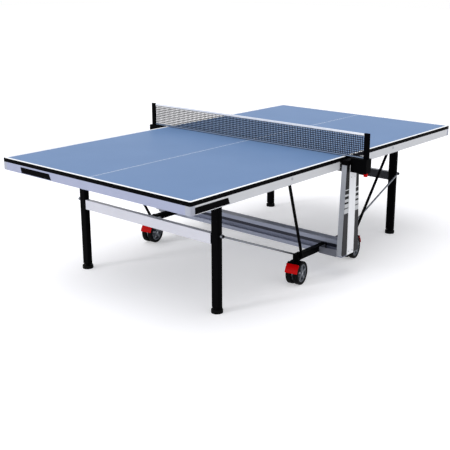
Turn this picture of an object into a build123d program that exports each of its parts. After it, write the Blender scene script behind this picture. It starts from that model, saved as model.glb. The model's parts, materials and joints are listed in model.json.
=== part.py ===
"""Folding ping pong table: two half tops that swing up on a wheeled trolley.

X runs along the table, Y along the net, Z up, the origin on the floor under the middle of the net.
The near half (-X) and the left side (+Y) are drawn, and their mirror images make the rest.
All sizes are in millimetres.
"""

import os
from math import atan2, cos, degrees, hypot, radians, sin

from build123d import *

os.makedirs("parts", exist_ok=True)

# Playing top
top_length = 2740.0
top_width = 1525.0
top_height = 760.0
half_gap = 8.0
board_thickness = 22.0
edge_band_thickness = 3.0
top_corner_radius = 12.0

# Steel apron under the board
apron_height = 48.0
apron_depth = 20.0
apron_wall = 2.0
corner_cap_reach = 35.0
guide_block_length = 68.0
net_rail_inset = 6.0
leg_rail_height = 30.0
leg_rail_depth = 25.0
leg_rail_place = 987.0

# Legs: their places and sections
leg_place = 948.0
leg_inset = 210.5
leg_width = 60.0
leg_depth = 35.0
leg_corner_radius = 11.0
leg_wall = 2.0
leg_bottom = 30.0
leg_top_drop = 35.0
leg_plug_height = 12.0
crossbar_bottom = 397.0
crossbar_height = 60.0
crossbar_depth = 30.0
foot_diameter = 68.0
foot_height = 24.0
foot_neck_diameter = 30.0
foot_neck_height = 4.0
foot_stud_diameter = 12.0
foot_stud_reach = 45.0

# Fold pivots: places from the net, drops from the playing surface, heights from the floor
fold_pivot_place = 40.0
fold_pivot_drop = 35.0
folded_side_gap = 3.0
folded_edge_gap = 5.0
leg_pivot_drop = 57.0
stay_pivot_place = 555.0
stay_pivot_drop = 37.0
stay_arm_height = 172.0
link_leg_height = 450.0
link_arm_height = 165.0
pivot_pin_diameter = 10.0
leg_pin_diameter = 12.0
pin_head_height = 2.5
pin_head_margin = 3.0

# Guide rollers on the pivot pins
roller_diameter = 24.0
roller_flange_diameter = 30.0
roller_flange_width = 3.0
roller_reach = 4.0

# Leg hinge brackets
hinge_plate = 3.5
hinge_lug_radius = 15.0
hinge_plate_length = 62.0

# Stay rods and leg links
stay_diameter = 18.0
stay_eye_diameter = 25.0
stay_eye_width = 11.0
link_diameter = 12.0
link_eye_diameter = 22.0
link_eye_width = 13.0
link_standoff = 11.0

# Trolley beam, a lipped channel on both sides
beam_end_gap = 2.0
beam_bottom = 120.0
beam_height = 106.0
beam_width = 64.0
beam_lip = 26.0
beam_web = 28.0
beam_wall = 2.5

# Wheel arms
arm_inset = 137.5
arm_width = 40.0
arm_height = 36.0
arm_bottom = 150.0
arm_reach = 318.0
arm_wall = 2.5
socket_diameter = 30.0
socket_rise = 4.0
pivot_boss_diameter = 17.0

# Wings that carry the uprights
wing_reach = 98.0
wing_bottom = 144.0
wing_inner_top = 183.0
wing_outer_top = 190.0
wing_sheet = 3.0

# Uprights
upright_gap = 9.5
upright_depth = 34.0
upright_bottom = 150.0
upright_drop = 14.0
upright_top_width = 134.0
upright_foot_width = 190.0
upright_foot_radius = 14.0
upright_wall = 4.0
upright_shell = 3.0
rib_width = 72.0
rib_rise = 6.0
trim_thickness = 2.5
trim_margin = 2.5

# Net post brackets, posts and net
cap_drop = 26.0
cap_wall = 2.5
housing_width = 72.0
housing_drop = 84.0
housing_wall = 3.0
housing_radius = 10.0
guide_plate_drop = 61.0
net_overhang = 152.5
post_width = 37.0
post_depth = 16.0
post_radius = 6.0
net_height = 152.5
post_rise = 2.5
spigot_length = 35.0
spigot_margin = 5.0
net_clearance = 2.0
top_tape_height = 15.0
top_tape_thickness = 5.0
foot_tape_height = 8.0
foot_tape_thickness = 3.0
mesh_thickness = 1.5
mesh_strand = 3.0
mesh_columns = 60
mesh_rows = 5

# Red unlock handles
handle_width = 28.0
handle_depth = 26.0
handle_drop = 108.0
handle_height = 40.0
handle_taper = 5.0
handle_radius = 9.0
handle_stem_diameter = 10.0
handle_collar_diameter = 18.0
handle_collar_height = 5.0
handle_travel = 15.0

# Twin-wheel casters
wheel_diameter = 145.0
tyre_inner_diameter = 110.0
tyre_width = 33.0
tyre_round = 6.0
hub_width = 25.0
hub_rim = 6.0
hub_boss_diameter = 30.0
hub_spokes = 5
hub_spoke_width = 12.0
wheel_spacing = 16.0
axle_diameter = 12.0
caster_trail = 25.0
stem_place = 285.0
stem_diameter = 14.0
stem_washer_diameter = 24.0
stem_washer_height = 2.0
caster_swivel = 10.0
fork_plate = 8.0
fork_axle_radius = 18.0
fork_crown_radius = 15.0
fork_crown_height = 128.0
fork_crown_disc = 4.0
pedal_pivot = (-38.0, 18.0)
pedal_pin_diameter = 6.0
pedal_lug_radius = 9.0
pedal_cheek = 3.0
pedal_gap = 6.5
pedal_thickness = 4.0
pedal_low_angle = 12.0
pedal_high_angle = 50.0
pedal_lip_reach = 7.0
pedal_lip_angle = 3.0
hood_low_angle = 54.0
hood_high_angle = 66.0

# Clearances
running_fit = 0.05
slide_fit = 0.3
side_play = 0.5

# Places that follow from the sizes above
half_length = top_length / 2 - half_gap / 2
board_bottom = top_height - board_thickness
apron_bottom = board_bottom - apron_height
side_outer = top_width / 2
side_inner = side_outer - apron_depth
net_edge = -half_gap / 2
end_edge = -top_length / 2
half_middle = (end_edge + net_edge) / 2
leg_offset = side_outer - leg_inset
leg_top = top_height - leg_top_drop
arm_offset = side_outer - arm_inset
fold_pivot = (-fold_pivot_place, top_height - fold_pivot_drop)
folded_pivot = (
    -beam_width / 2 - folded_side_gap - fold_pivot_drop,
    arm_bottom + arm_height + folded_edge_gap + fold_pivot_place + net_edge,
)
leg_pivot_height = top_height - leg_pivot_drop
stay_top_pivot = (-stay_pivot_place, top_height - stay_pivot_drop)
slot_vector = (folded_pivot[0] - fold_pivot[0], folded_pivot[1] - fold_pivot[1])
slot_travel = hypot(*slot_vector)
slot_angle = degrees(atan2(-slot_vector[1], -slot_vector[0]))
arm_middle = arm_bottom + arm_height / 2
arm_outer = arm_offset + arm_width / 2
arm_inner = arm_offset - arm_width / 2
leg_outer = leg_offset + leg_width / 2
link_lane = leg_outer + link_standoff
upright_inner = side_outer + upright_gap
upright_top = top_height - upright_drop
beam_length = 2 * (upright_inner - beam_end_gap)
upright_outer = upright_inner + upright_depth
rib_outer = upright_outer + rib_rise
post_outer = side_outer + net_overhang
post_inner = post_outer - post_width
housing_bottom = top_height - housing_drop
guide_plate_height = top_height - guide_plate_drop
net_top = top_height + net_height
handle_place = post_outer - post_width / 2
handle_bottom = top_height - handle_drop
stay_top_lane = side_inner - side_play - stay_eye_width / 2
stay_low_lane = arm_outer + pin_head_height + side_play + stay_eye_width / 2
roller_flange_y = upright_inner + upright_wall + side_play
wheel_radius = wheel_diameter / 2
axle_place = -(stem_place + caster_trail)


def level(y):
    """Drawing plane across the table at a given Y: X to the right, Z up, extruding towards -Y."""
    return Plane.XZ.offset(-y)


def equal_reach(start, end, height):
    """X of the point at a height that is equally far from a pivot's open and folded places."""
    middle = ((start[0] + end[0]) / 2, (start[1] + end[1]) / 2)
    step = (end[0] - start[0], end[1] - start[1])
    return middle[0] - (height - middle[1]) * step[1] / step[0]


def folded(point):
    """Place of a point of the near half after its quarter turn about the fold pivot."""
    return (
        folded_pivot[0] + point[1] - fold_pivot[1],
        folded_pivot[1] - point[0] + fold_pivot[0],
    )


leg_pivot = (-leg_place, leg_pivot_height)
link_top_pivot = (-leg_place, link_leg_height)
link_folded = (
    folded(leg_pivot)[0],
    folded(leg_pivot)[1] + link_leg_height - leg_pivot_height,
)
stay_low_pivot = (
    equal_reach(stay_top_pivot, folded(stay_top_pivot), stay_arm_height),
    stay_arm_height,
)
link_low_pivot = (
    equal_reach(link_top_pivot, link_folded, link_arm_height),
    link_arm_height,
)

# Board of the near half
with BuildPart() as panel:
    with BuildSketch(Plane.XY.offset(board_bottom)):
        with Locations((half_middle, 0)):
            RectangleRounded(
                half_length - 2 * edge_band_thickness,
                top_width - 2 * edge_band_thickness,
                top_corner_radius - edge_band_thickness,
            )
    extrude(amount=board_thickness)

# Edge band glued around the board
with BuildPart() as edge_band:
    with BuildSketch(Plane.XY.offset(board_bottom)):
        with Locations((half_middle, 0)):
            RectangleRounded(half_length, top_width, top_corner_radius)
            RectangleRounded(
                half_length - 2 * edge_band_thickness,
                top_width - 2 * edge_band_thickness,
                top_corner_radius - edge_band_thickness,
                mode=Mode.SUBTRACT,
            )
    extrude(amount=board_thickness)

# End rail of the apron, a rectangular tube between the corner caps
with BuildPart() as apron_end:
    with BuildSketch(Plane.XZ):
        with Locations((end_edge + apron_depth / 2, apron_bottom + apron_height / 2)):
            Rectangle(apron_depth, apron_height)
            Rectangle(apron_depth - 2 * apron_wall, apron_height - 2 * apron_wall, mode=Mode.SUBTRACT)
    extrude(amount=side_outer - corner_cap_reach, both=True)

# Side rails of the apron
guide_block_end = net_edge - half_gap / 2 - guide_block_length
side_rail_start = end_edge + corner_cap_reach
with BuildPart() as apron_sides:
    with BuildSketch(Plane.YZ.offset(side_rail_start)):
        with Locations((side_inner + apron_depth / 2, apron_bottom + apron_height / 2)):
            Rectangle(apron_depth, apron_height)
            Rectangle(apron_depth - 2 * apron_wall, apron_height - 2 * apron_wall, mode=Mode.SUBTRACT)
    extrude(amount=guide_block_end - side_rail_start)
    with BuildSketch(level(side_outer)):
        with Locations(stay_top_pivot):
            Circle(pivot_pin_diameter / 2)
    extrude(amount=apron_depth, mode=Mode.SUBTRACT)
    mirror(about=Plane.XZ)

# Rounded corner caps between the end rail and the side rails
with BuildPart() as corner_caps:
    with BuildSketch(Plane.XY.offset(apron_bottom)):
        with Locations((end_edge, side_outer)):
            Rectangle(corner_cap_reach, corner_cap_reach, align=(Align.MIN, Align.MAX))
        fillet(vertices().group_by(Axis.Y)[-1].sort_by(Axis.X)[0], top_corner_radius)
        with Locations((end_edge + apron_depth, side_inner)):
            Rectangle(
                corner_cap_reach,
                corner_cap_reach,
                align=(Align.MIN, Align.MAX),
                mode=Mode.SUBTRACT,
            )
    extrude(amount=apron_height)
    mirror(about=Plane.XZ)

# Cross rails under the board, one at the net end and one behind the leg hinges
net_rail_middle = net_edge - net_rail_inset - apron_depth / 2
leg_rail_middle = -leg_rail_place - leg_rail_depth / 2
with BuildPart() as cross_rails:
    with BuildSketch(Plane.XZ):
        with Locations((net_rail_middle, apron_bottom + apron_height / 2)):
            Rectangle(apron_depth, apron_height)
            Rectangle(apron_depth - 2 * apron_wall, apron_height - 2 * apron_wall, mode=Mode.SUBTRACT)
        with Locations((leg_rail_middle, board_bottom - leg_rail_height / 2)):
            Rectangle(leg_rail_depth, leg_rail_height)
            Rectangle(leg_rail_depth - 2 * apron_wall, leg_rail_height - 2 * apron_wall, mode=Mode.SUBTRACT)
    extrude(amount=side_inner, both=True)

# Guide blocks that close the side rails at the net end
with BuildPart() as guide_blocks:
    with BuildSketch(level(side_outer)):
        with Locations((guide_block_end, apron_bottom)):
            Rectangle(guide_block_length, apron_height, align=(Align.MIN, Align.MIN))
        fillet(vertices().group_by(Axis.Y)[0].sort_by(Axis.X)[-1], top_corner_radius)
    extrude(amount=apron_depth)
    with BuildSketch(level(side_outer)):
        with Locations(fold_pivot):
            Circle(pivot_pin_diameter / 2)
    extrude(amount=apron_depth, mode=Mode.SUBTRACT)
    mirror(about=Plane.XZ)

# Guide rollers, flanged inside the upright so that they stay in the slot
pin_end = roller_flange_y + roller_flange_width + side_play
roller_bore = pivot_pin_diameter + 2 * running_fit
with BuildPart() as guide_rollers:
    with BuildSketch(level(roller_flange_y + roller_flange_width)):
        with Locations(fold_pivot):
            Circle(roller_flange_diameter / 2)
    extrude(amount=roller_flange_width)
    with BuildSketch(level(roller_flange_y)):
        with Locations(fold_pivot):
            Circle(roller_diameter / 2)
    extrude(amount=roller_flange_y - upright_inner + roller_reach)
    with BuildSketch(level(roller_flange_y + roller_flange_width)):
        with Locations(fold_pivot):
            Circle(roller_bore / 2)
    extrude(amount=roller_flange_y + roller_flange_width, mode=Mode.SUBTRACT)
    mirror(about=Plane.XZ)

# Leg hinge brackets: a plate under the board with two lugs, and the hinge pin
lug_inner = leg_offset - leg_width / 2 - side_play
lug_outer = leg_offset + leg_width / 2 + side_play
with BuildPart() as leg_brackets:
    with BuildSketch(Plane.XY.offset(board_bottom)):
        with Locations((-leg_rail_place, leg_offset)):
            Rectangle(
                hinge_plate_length,
                lug_outer - lug_inner + 2 * hinge_plate,
                align=(Align.MIN, Align.CENTER),
            )
    extrude(amount=-hinge_plate)
    for lug_face in (lug_inner, lug_outer + hinge_plate):
        with BuildSketch(level(lug_face)):
            with Locations(leg_pivot):
                Circle(hinge_lug_radius)
                Rectangle(
                    2 * hinge_lug_radius,
                    board_bottom - leg_pivot_height,
                    align=(Align.CENTER, Align.MIN),
                )
                Circle(leg_pin_diameter / 2, mode=Mode.SUBTRACT)
        extrude(amount=hinge_plate)
    mirror(about=Plane.XZ)

# Pins of a half: the fold pivots, the bolts that carry the stay rods and the leg hinge pins
stay_pin_end = side_inner - side_play - stay_eye_width
with BuildPart() as pivot_pins:
    with BuildSketch(level(pin_end + pin_head_height)):
        with Locations(fold_pivot):
            Circle(pivot_pin_diameter / 2)
    extrude(amount=pin_end + pin_head_height - side_inner)
    with BuildSketch(level(pin_end + pin_head_height)):
        with Locations(fold_pivot):
            Circle(pivot_pin_diameter / 2 + pin_head_margin)
    extrude(amount=pin_head_height)
    with BuildSketch(level(side_outer + pin_head_height)):
        with Locations(stay_top_pivot):
            Circle(pivot_pin_diameter / 2 + pin_head_margin)
    extrude(amount=pin_head_height)
    with BuildSketch(level(side_outer)):
        with Locations(stay_top_pivot):
            Circle(pivot_pin_diameter / 2)
    extrude(amount=side_outer - stay_pin_end)
    with BuildSketch(level(lug_outer + hinge_plate)):
        with Locations(leg_pivot):
            Circle(leg_pin_diameter / 2)
    extrude(amount=lug_outer - lug_inner + 2 * hinge_plate)
    for head_face in (lug_inner - hinge_plate, lug_outer + hinge_plate + pin_head_height):
        with BuildSketch(level(head_face)):
            with Locations(leg_pivot):
                Circle(leg_pin_diameter / 2 + pin_head_margin)
        extrude(amount=pin_head_height)
    mirror(about=Plane.XZ)

# Legs: rounded tubes with a threaded plug below and a stud for the leg link
with BuildPart() as leg_tubes:
    with BuildSketch(Plane.XY.offset(leg_bottom)):
        with Locations((-leg_place, leg_offset)):
            RectangleRounded(leg_depth, leg_width, leg_corner_radius)
    extrude(amount=leg_top - leg_bottom)
    with BuildSketch(Plane.XY.offset(leg_bottom + leg_plug_height)):
        with Locations((-leg_place, leg_offset)):
            RectangleRounded(
                leg_depth - 2 * leg_wall,
                leg_width - 2 * leg_wall,
                leg_corner_radius - leg_wall,
            )
    extrude(amount=leg_top - leg_bottom - leg_plug_height, mode=Mode.SUBTRACT)
    with BuildSketch(Plane.XY.offset(leg_bottom)):
        with Locations((-leg_place, leg_offset)):
            Circle(foot_stud_diameter / 2 + slide_fit)
    extrude(amount=leg_plug_height, mode=Mode.SUBTRACT)
    with BuildSketch(level(lug_outer)):
        with Locations(leg_pivot):
            Circle(leg_pin_diameter / 2 + running_fit)
    extrude(amount=lug_outer - lug_inner, mode=Mode.SUBTRACT)
    with BuildSketch(level(link_lane + link_eye_width / 2 + side_play)):
        with Locations(link_top_pivot):
            Circle(pivot_pin_diameter / 2)
    extrude(amount=link_lane + link_eye_width / 2 + side_play - leg_outer + leg_wall)
    with BuildSketch(level(link_lane + link_eye_width / 2 + side_play + pin_head_height)):
        with Locations(link_top_pivot):
            Circle(pivot_pin_diameter / 2 + pin_head_margin)
    extrude(amount=pin_head_height)
    mirror(about=Plane.XZ)

# Crossbar welded between the legs, flush with their outer faces
with BuildPart() as leg_crossbar:
    with BuildSketch(Plane.XZ):
        with Locations(
            (
                -leg_place - leg_depth / 2 + crossbar_depth / 2,
                crossbar_bottom + crossbar_height / 2,
            )
        ):
            Rectangle(crossbar_depth, crossbar_height)
            Rectangle(crossbar_depth - 2 * leg_wall, crossbar_height - 2 * leg_wall, mode=Mode.SUBTRACT)
    extrude(amount=leg_offset - leg_width / 2, both=True)

# Levelling foot that screws into the leg plug
with BuildPart() as leg_foot:
    with BuildSketch(Plane.XZ):
        with BuildLine():
            Polyline(
                (0, 0),
                (foot_diameter / 2, 0),
                (foot_diameter / 2, foot_height),
                (foot_neck_diameter / 2, foot_height),
                (foot_neck_diameter / 2, foot_height + foot_neck_height),
                (foot_stud_diameter / 2, foot_height + foot_neck_height),
                (foot_stud_diameter / 2, leg_bottom + foot_stud_reach),
                (0, leg_bottom + foot_stud_reach),
                close=True,
            )
        make_face()
        fillet(vertices().group_by(Axis.X)[-1].sort_by(Axis.Y)[-1], foot_height / 3)
    revolve(axis=Axis.Z)

# Stay rods, leaning from the aprons down to the wheel arms, with flattened ends
stay_top = Vector(stay_top_pivot[0], stay_top_lane, stay_top_pivot[1])
stay_low = Vector(stay_low_pivot[0], stay_low_lane, stay_low_pivot[1])
with BuildPart() as stay_rods:
    with BuildSketch(Plane(origin=stay_low, z_dir=stay_top - stay_low)):
        Circle(stay_diameter / 2)
    extrude(amount=(stay_top - stay_low).length)
    with BuildSketch(level(stay_top_lane + stay_eye_width / 2)):
        Rectangle(top_length, top_length)
    extrude(amount=stay_top_lane - stay_low_lane + stay_eye_width, mode=Mode.INTERSECT)
    for lane, pivot in ((stay_top_lane, stay_top_pivot), (stay_low_lane, stay_low_pivot)):
        with BuildSketch(level(lane + stay_eye_width / 2)):
            with Locations(pivot):
                Circle(stay_eye_diameter / 2)
        extrude(amount=stay_eye_width)
    with BuildSketch(level(stay_top_lane + stay_eye_width / 2)):
        with Locations(stay_top_pivot):
            Circle(pivot_pin_diameter / 2 + running_fit)
    extrude(amount=stay_eye_width + stay_diameter, mode=Mode.SUBTRACT)
    mirror(about=Plane.XZ)

# Leg links, thin rods that hold the legs upright while the half folds
link_top = Vector(link_top_pivot[0], link_lane, link_top_pivot[1])
link_low = Vector(link_low_pivot[0], link_lane, link_low_pivot[1])
with BuildPart() as leg_links:
    with BuildSketch(Plane(origin=link_low, z_dir=link_top - link_low)):
        Circle(link_diameter / 2)
    extrude(amount=(link_top - link_low).length)
    for pivot in (link_top_pivot, link_low_pivot):
        with BuildSketch(level(link_lane + link_eye_width / 2)):
            with Locations(pivot):
                Circle(link_eye_diameter / 2)
        extrude(amount=link_eye_width)
    with BuildSketch(level(link_lane + link_eye_width / 2)):
        with Locations(link_top_pivot):
            Circle(pivot_pin_diameter / 2 + running_fit)
    extrude(amount=link_eye_width, mode=Mode.SUBTRACT)
    mirror(about=Plane.XZ)

# Trolley beam, hollow, with a lip along the top and the bottom of each side
beam_top = beam_bottom + beam_height
with BuildPart() as base_beam:
    with BuildSketch(Plane.XZ):
        with Locations((0, beam_bottom)):
            Rectangle(beam_width, beam_lip, align=(Align.CENTER, Align.MIN))
            Rectangle(beam_web, beam_height, align=(Align.CENTER, Align.MIN))
        with Locations((0, beam_top)):
            Rectangle(beam_width, beam_lip, align=(Align.CENTER, Align.MAX))
        offset(amount=-beam_wall, kind=Kind.INTERSECTION, mode=Mode.SUBTRACT)
    extrude(amount=beam_length / 2, both=True)

# Wheel arms: tubes from the beam web to the caster sockets, with bosses for the stays and links
with BuildPart() as wheel_arms:
    with BuildSketch(Plane.YZ.offset(-arm_reach)):
        with Locations((arm_offset, arm_middle)):
            Rectangle(arm_width, arm_height)
    extrude(amount=arm_reach - beam_web / 2)
    fillet(edges().filter_by(Axis.X), arm_wall)
    with BuildSketch(Plane.YZ.offset(-arm_reach + arm_wall)):
        with Locations((arm_offset, arm_middle)):
            Rectangle(arm_width - 2 * arm_wall, arm_height - 2 * arm_wall)
    extrude(amount=arm_reach, mode=Mode.SUBTRACT)
    with BuildSketch(Plane.XY.offset(arm_bottom)):
        with Locations((-stem_place, arm_offset)):
            Circle(socket_diameter / 2)
    extrude(amount=arm_height + socket_rise)
    with BuildSketch(Plane.XY.offset(arm_bottom)):
        with Locations((-stem_place, arm_offset)):
            Circle(stem_diameter / 2 + running_fit)
    extrude(amount=arm_height + socket_rise, mode=Mode.SUBTRACT)
    with BuildSketch(level(arm_outer + pin_head_height)):
        with Locations(stay_low_pivot):
            Circle(pivot_boss_diameter / 2)
    extrude(amount=pin_head_height)
    with BuildSketch(level(arm_inner)):
        with Locations(link_low_pivot):
            Circle(pivot_boss_diameter / 2)
    extrude(amount=arm_inner - link_lane - link_eye_width / 2 - side_play)
    mirror(about=Plane.XZ)
    mirror(about=Plane.YZ)

# Wings: pressed steel troughs, open above, from the beam to the feet of the uprights
with BuildPart() as base_wings:
    with BuildSketch(Plane.YZ.offset(-wing_reach)):
        with BuildLine():
            Polyline(
                (arm_outer, wing_bottom),
                (upright_inner, wing_bottom),
                (upright_inner, wing_outer_top),
                (arm_outer, wing_inner_top),
                close=True,
            )
        make_face()
    extrude(amount=wing_reach - beam_width / 2)
    wing_open = [faces().sort_by(Axis.Z)[-1], faces().sort_by(Axis.X)[-1]]
    offset(amount=-wing_sheet, openings=wing_open, kind=Kind.INTERSECTION)
    mirror(about=Plane.XZ)
    mirror(about=Plane.YZ)

# Left upright: a tapered hollow post with two guide slots and a raised rib down its face
upright_height = upright_top - upright_bottom
with BuildPart() as upright:
    with BuildSketch(level(upright_inner)) as upright_outline:
        with BuildLine():
            Polyline(
                (-upright_foot_width / 2, upright_bottom),
                (upright_foot_width / 2, upright_bottom),
                (upright_top_width / 2, upright_top),
                (-upright_top_width / 2, upright_top),
                close=True,
            )
        make_face()
        fillet(vertices().group_by(Axis.Y)[0], upright_foot_radius)
    extrude(amount=-upright_depth)
    with BuildSketch(level(upright_inner + upright_wall)):
        add(upright_outline.sketch_local)
        offset(amount=-upright_shell, kind=Kind.INTERSECTION, mode=Mode.REPLACE)
    extrude(amount=-(upright_depth - upright_wall - upright_shell), mode=Mode.SUBTRACT)
    with BuildSketch(level(upright_inner)):
        slot_middle = (
            fold_pivot[0] + slot_vector[0] / 2,
            fold_pivot[1] + slot_vector[1] / 2,
        )
        with Locations(slot_middle):
            SlotCenterToCenter(
                slot_travel,
                roller_diameter + 4 * slide_fit,
                rotation=slot_angle,
            )
        mirror(about=Plane.YZ)
    extrude(amount=-upright_wall, mode=Mode.SUBTRACT)
    with BuildSketch(level(upright_outer)):
        with Locations((0, upright_bottom)):
            Rectangle(rib_width, upright_height, align=(Align.CENTER, Align.MIN))
    extrude(amount=-rib_rise)
    fillet(faces().sort_by(Axis.Y)[-1].edges().filter_by(Axis.Z), rib_rise / 2)

# Trim panels on both sides of the rib
with BuildPart() as upright_trims:
    with BuildSketch(level(upright_outer)):
        add(upright_outline.sketch_local)
        offset(amount=-trim_margin, kind=Kind.INTERSECTION, mode=Mode.REPLACE)
        with Locations((0, upright_bottom)):
            Rectangle(
                rib_width + 2 * side_play,
                upright_height,
                align=(Align.CENTER, Align.MIN),
                mode=Mode.SUBTRACT,
            )
        with Locations((0, upright_top)):
            Rectangle(
                upright_top_width,
                cap_drop + side_play,
                align=(Align.CENTER, Align.MAX),
                mode=Mode.SUBTRACT,
            )
    extrude(amount=-trim_thickness)
    mirror(about=Plane.XZ)

# Net post bracket: a cap over the upright and a hollow housing out to the post
cap_bottom = upright_top - cap_drop
cap_slope = (upright_foot_width - upright_top_width) / 2 / upright_height
cap_half = upright_top_width / 2 + cap_drop * cap_slope + slide_fit
with BuildPart() as post_brackets:
    with BuildSketch(level(upright_inner)):
        with Locations((0, cap_bottom)):
            Rectangle(
                2 * (cap_half + cap_wall),
                cap_drop + slide_fit + cap_wall,
                align=(Align.CENTER, Align.MIN),
            )
        fillet(vertices().group_by(Axis.Y)[-1], top_corner_radius / 2)
    extrude(amount=-(rib_outer + cap_wall - upright_inner))
    with BuildSketch(Plane.XY.offset(housing_bottom)):
        with Locations((0, rib_outer)):
            Rectangle(
                housing_width,
                post_outer - rib_outer,
                align=(Align.CENTER, Align.MIN),
            )
        fillet(vertices().group_by(Axis.Y)[-1], housing_radius)
    extrude(amount=top_height - housing_bottom)
    with BuildSketch(level(upright_inner)):
        with Locations((0, cap_bottom)):
            Rectangle(
                2 * cap_half,
                cap_drop + slide_fit,
                align=(Align.CENTER, Align.MIN),
            )
    extrude(amount=-(rib_outer - upright_inner), mode=Mode.SUBTRACT)
    with BuildSketch(Plane.XY.offset(housing_bottom)):
        with Locations((0, rib_outer + housing_wall)):
            Rectangle(
                housing_width - 2 * housing_wall,
                post_outer - rib_outer - 2 * housing_wall,
                align=(Align.CENTER, Align.MIN),
            )
        fillet(vertices().group_by(Axis.Y)[-1], housing_radius - housing_wall)
    extrude(amount=top_height - housing_bottom - housing_wall, mode=Mode.SUBTRACT)
    with BuildSketch(Plane.XY.offset(guide_plate_height)):
        with Locations((0, rib_outer + housing_wall)):
            Rectangle(
                housing_width - 2 * housing_wall,
                post_outer - rib_outer - 2 * housing_wall,
                align=(Align.CENTER, Align.MIN),
            )
        fillet(vertices().group_by(Axis.Y)[-1], housing_radius - housing_wall)
        with Locations((0, handle_place)):
            Circle(handle_stem_diameter / 2 + slide_fit, mode=Mode.SUBTRACT)
    extrude(amount=housing_wall)
    with BuildSketch(Plane.XY.offset(top_height - housing_wall)):
        with Locations((0, post_outer - post_width / 2)):
            RectangleRounded(
                post_depth - 2 * spigot_margin + 2 * slide_fit,
                post_width - 2 * spigot_margin + 2 * slide_fit,
                slide_fit,
            )
    extrude(amount=housing_wall, mode=Mode.SUBTRACT)
    mirror(about=Plane.XZ)

# Net post with the spigot that plugs into the bracket
with BuildPart() as net_posts:
    with BuildSketch(Plane.XY.offset(top_height)):
        with Locations((0, post_outer - post_width / 2)):
            RectangleRounded(post_depth, post_width, post_radius)
    extrude(amount=net_top + post_rise - top_height)
    fillet(faces().sort_by(Axis.Z)[-1].edges(), post_radius / 2)
    with BuildSketch(Plane.XY.offset(top_height)):
        with Locations((0, post_outer - post_width / 2)):
            Rectangle(post_depth - 2 * spigot_margin, post_width - 2 * spigot_margin)
    extrude(amount=-spigot_length)
    mirror(about=Plane.XZ)

# Net: a holed sheet between the tapes
foot_tape_bottom = top_height + net_clearance
mesh_bottom = foot_tape_bottom + foot_tape_height
mesh_top = net_top - top_tape_height
column_pitch = (2 * post_inner - mesh_strand) / mesh_columns
row_pitch = (mesh_top - mesh_bottom - mesh_strand) / mesh_rows
with BuildPart() as net_mesh:
    with BuildSketch(Plane.YZ.offset(-mesh_thickness / 2)):
        with Locations((0, (mesh_bottom + mesh_top) / 2)):
            Rectangle(2 * post_inner, mesh_top - mesh_bottom)
            with GridLocations(column_pitch, row_pitch, mesh_columns, mesh_rows):
                Rectangle(
                    column_pitch - mesh_strand,
                    row_pitch - mesh_strand,
                    mode=Mode.SUBTRACT,
                )
    extrude(amount=mesh_thickness)

with BuildPart() as net_tapes:
    with BuildSketch(Plane.XZ):
        with Locations((0, mesh_top)):
            Rectangle(top_tape_thickness, top_tape_height, align=(Align.CENTER, Align.MIN))
        fillet(vertices().group_by(Axis.Y)[-1], top_tape_thickness / 3)
        with Locations((0, foot_tape_bottom)):
            Rectangle(foot_tape_thickness, foot_tape_height, align=(Align.CENTER, Align.MIN))
    extrude(amount=post_inner, both=True)

# Unlock handle: a grip below the bracket on a stem with a collar above the guide plate
collar_bottom = guide_plate_height + housing_wall + handle_travel + side_play
with BuildPart() as unlock_handle:
    with BuildSketch(Plane.XY.offset(handle_bottom + handle_height)):
        with Locations((0, handle_place)):
            RectangleRounded(handle_depth, handle_width, handle_radius)
    extrude(amount=-handle_height, taper=handle_taper)
    fillet(faces().sort_by(Axis.Z)[0].edges(), handle_radius / 4)
    with BuildSketch(Plane.XY.offset(handle_bottom + handle_height)):
        with Locations((0, handle_place)):
            Circle(handle_stem_diameter / 2)
    extrude(amount=collar_bottom - handle_bottom - handle_height)
    with BuildSketch(Plane.XY.offset(collar_bottom)):
        with Locations((0, handle_place)):
            Circle(handle_collar_diameter / 2)
    extrude(amount=handle_collar_height)

pedal_inner = wheel_radius + pedal_gap
pedal_outer = pedal_inner + pedal_thickness


def around_axle(radius, angle):
    """Point at a radius from the axle and an angle above the horizontal, on the outward side."""
    return (
        axle_place - radius * cos(radians(angle)),
        wheel_radius + radius * sin(radians(angle)),
    )


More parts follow.
